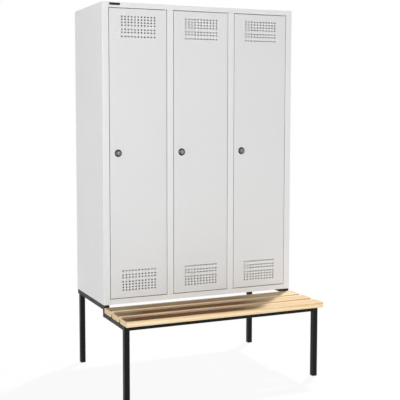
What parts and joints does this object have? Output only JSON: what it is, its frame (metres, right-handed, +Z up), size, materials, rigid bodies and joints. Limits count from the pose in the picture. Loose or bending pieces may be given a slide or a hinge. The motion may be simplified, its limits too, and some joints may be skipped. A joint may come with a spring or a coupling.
{
  "type": "locker with bench seat",
  "caption": "Steel clothes locker with side-by-side vented doors on a black square-tube frame that steps forward as a wooden slatted bench seat; doors swing, latches turn, coat hooks slide.",
  "frame": {"origin": "on the floor, under the middle of the whole unit", "axes": "+Z up, +Y from the bench towards the cabinet back, +X to the right seen from the front"},
  "size_m": [1.194, 0.863, 2.12],
  "materials": {
    "grey_coat": "fine satin powder coat, light grey",
    "black_coat": "satin powder coat, black",
    "seat_wood": "clear lacquered softwood",
    "lock_metal": "satin dark nickel plating",
    "zinc_steel": "bright zinc plating",
    "black_plastic": "moulded black plastic",
    "rubber": "soft black rubber"
  },
  "bodies": {
    "cabinet": {"side_panel_left": "grey_coat", "side_panel_right": "grey_coat", "partition_left": "grey_coat", "partition_right": "grey_coat", "front_post_left": "grey_coat", "front_post_right": "grey_coat", "roof_panel": "grey_coat", "floor_panel": "grey_coat", "back_panel": "grey_coat", "hat_shelf_left": "grey_coat", "hat_shelf_middle": "grey_coat", "hat_shelf_right": "grey_coat", "coat_rail_left": "zinc_steel", "coat_rail_middle": "zinc_steel", "coat_rail_right": "zinc_steel", "hinge_bushes": "black_plastic", "door_buffers": "rubber", "upper_rail_left": "black_coat", "upper_rail_right": "black_coat", "seat_arm_left": "black_coat", "seat_arm_right": "black_coat", "leg_front_left": "black_coat", "leg_front_right": "black_coat", "leg_rear_left": "black_coat", "leg_rear_right": "black_coat", "front_rail": "black_coat", "rear_rail": "black_coat", "step_posts": "black_coat", "slat_front": "seat_wood", "slat_middle": "seat_wood", "slat_rear": "seat_wood", "slat_battens": "seat_wood", "slat_screws": "zinc_steel", "cabinet_bolts": "zinc_steel", "tube_plugs": "black_plastic", "slat_spacers": "black_plastic"},
    "door_left": {"door_panel_left": "grey_coat", "door_stiffener_left": "grey_coat", "hinge_pins_left": "zinc_steel", "lock_body_left": "lock_metal"},
    "lock_left": {"lock_knob_left": "lock_metal", "lock_cam_left": "zinc_steel"},
    "door_middle": {"door_panel_middle": "grey_coat", "door_stiffener_middle": "grey_coat", "hinge_pins_middle": "zinc_steel", "lock_body_middle": "lock_metal"},
    "lock_middle": {"lock_knob_middle": "lock_metal", "lock_cam_middle": "zinc_steel"},
    "door_right": {"door_panel_right": "grey_coat", "door_stiffener_right": "grey_coat", "hinge_pins_right": "zinc_steel", "lock_body_right": "lock_metal"},
    "lock_right": {"lock_knob_right": "lock_metal", "lock_cam_right": "zinc_steel"},
    "hook_left_left": {"coat_hook_left_left": "zinc_steel"},
    "hook_left_right": {"coat_hook_left_right": "zinc_steel"},
    "hook_middle_left": {"coat_hook_middle_left": "zinc_steel"},
    "hook_middle_right": {"coat_hook_middle_right": "zinc_steel"},
    "hook_right_left": {"coat_hook_right_left": "zinc_steel"},
    "hook_right_right": {"coat_hook_right_right": "zinc_steel"}
  },
  "joints": [
    {"name": "door_left_hinge", "type": "hinge", "parent": "cabinet", "child": "door_left", "pos_m": [-0.22, -0.0625, 1.295], "axis": [0, 0, 1], "range_deg": [0, 105]},
    {"name": "lock_left_turn", "type": "hinge", "parent": "door_left", "child": "lock_left", "pos_m": [-0.506, -0.0685, 1.295], "axis": [0, 1, 0], "range_deg": [0, 90]},
    {"name": "door_middle_hinge", "type": "hinge", "parent": "cabinet", "child": "door_middle", "pos_m": [0.164, -0.0625, 1.295], "axis": [0, 0, 1], "range_deg": [0, 105]},
    {"name": "lock_middle_turn", "type": "hinge", "parent": "door_middle", "child": "lock_middle", "pos_m": [-0.122, -0.0685, 1.295], "axis": [0, 1, 0], "range_deg": [0, 90]},
    {"name": "door_right_hinge", "type": "hinge", "parent": "cabinet", "child": "door_right", "pos_m": [0.548, -0.0625, 1.295], "axis": [0, 0, 1], "range_deg": [0, 105]},
    {"name": "lock_right_turn", "type": "hinge", "parent": "door_right", "child": "lock_right", "pos_m": [0.262, -0.0685, 1.295], "axis": [0, 1, 0], "range_deg": [0, 90]},
    {"name": "hook_left_left_slide", "type": "slide", "parent": "cabinet", "child": "hook_left_left", "axis": [1, 0, 0], "range_m": [-0.105, 0.055]},
    {"name": "hook_left_right_slide", "type": "slide", "parent": "cabinet", "child": "hook_left_right", "axis": [1, 0, 0], "range_m": [-0.055, 0.105]},
    {"name": "hook_middle_left_slide", "type": "slide", "parent": "cabinet", "child": "hook_middle_left", "axis": [1, 0, 0], "range_m": [-0.105, 0.055]},
    {"name": "hook_middle_right_slide", "type": "slide", "parent": "cabinet", "child": "hook_middle_right", "axis": [1, 0, 0], "range_m": [-0.055, 0.105]},
    {"name": "hook_right_left_slide", "type": "slide", "parent": "cabinet", "child": "hook_right_left", "axis": [1, 0, 0], "range_m": [-0.105, 0.055]},
    {"name": "hook_right_right_slide", "type": "slide", "parent": "cabinet", "child": "hook_right_right", "axis": [1, 0, 0], "range_m": [-0.055, 0.105]}
  ]
}
